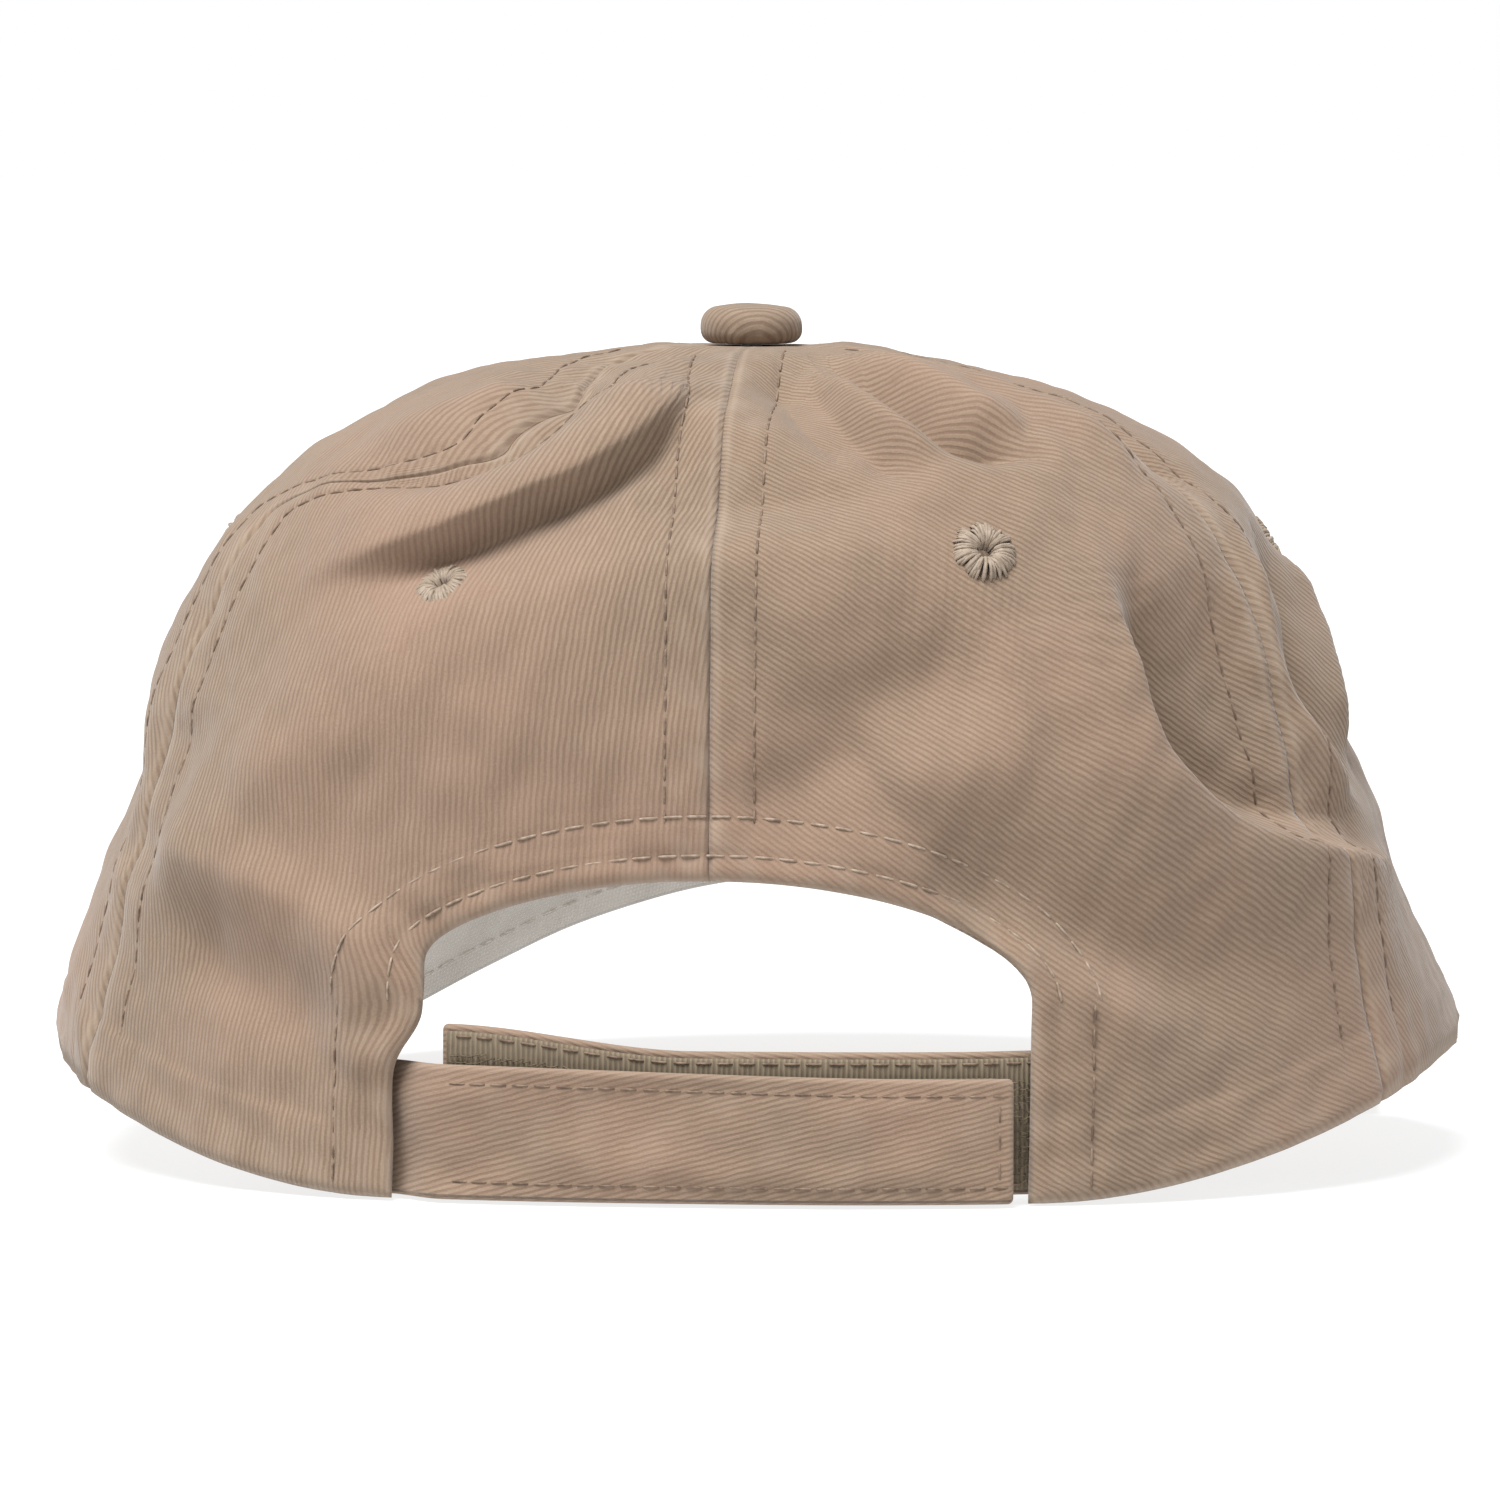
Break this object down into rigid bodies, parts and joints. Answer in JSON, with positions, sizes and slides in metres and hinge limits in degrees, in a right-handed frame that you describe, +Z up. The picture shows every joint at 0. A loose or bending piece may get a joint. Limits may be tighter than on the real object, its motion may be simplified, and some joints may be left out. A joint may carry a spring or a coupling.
{
  "type": "baseball cap",
  "caption": "Soft unstructured panel cap with curved visor, covered button, stitched eyelets and a hook-and-loop strap across an arched back opening.",
  "frame": {"origin": "on the surface the cap stands on, straight below the middle of the head opening", "axes": "+Z up, -Y forward out of the visor, +X to the wearer's left"},
  "size_m": [0.1968, 0.2262, 0.1196],
  "materials": {
    "twill": "brushed cotton twill",
    "thread": "satin embroidery thread",
    "tape": "plain-weave cotton tape",
    "lining": "plain cotton",
    "board": "satin",
    "hook": "matt nylon hooks",
    "loop": "fuzzy knitted loops",
    "steel": "plated"
  },
  "bodies": {
    "crown": {"panel_back_left": "twill", "panel_side_left": "twill", "panel_front_left": "twill", "panel_front_right": "twill", "panel_side_right": "twill", "panel_back_right": "twill", "visor_cloth_upper": "twill", "visor_cloth_lower": "twill", "strap_outer_root": "twill", "strap_inner_root": "twill", "button_cloth": "twill", "eyelet_back_left": "thread", "eyelet_side_left": "thread", "eyelet_front_left": "thread", "eyelet_front_right": "thread", "eyelet_side_right": "thread", "eyelet_back_right": "thread", "seam_tape_centre": "tape", "seam_tape_back_left": "tape", "seam_tape_front_left": "tape", "seam_tape_front_right": "tape", "seam_tape_back_right": "tape", "arch_facing": "tape", "sweatband": "lining", "visor_board": "board", "button_shell": "steel", "button_rivet": "steel", "button_washer": "steel"},
    "outer_strap": {"strap_outer": "twill", "hook_tape": "hook"},
    "inner_strap": {"strap_inner": "twill", "loop_tape": "loop"}
  },
  "joints": [
    {"name": "outer_strap_peel", "type": "hinge", "parent": "crown", "child": "outer_strap", "pos_m": [0.03585, 0.0757, 0.00925], "axis": [0, 0, -1], "range_deg": [0, 150]},
    {"name": "inner_strap_swing", "type": "hinge", "parent": "crown", "child": "inner_strap", "pos_m": [-0.04365, 0.0677, 0.0102], "axis": [0, 0, -1], "range_deg": [0, 60]}
  ]
}
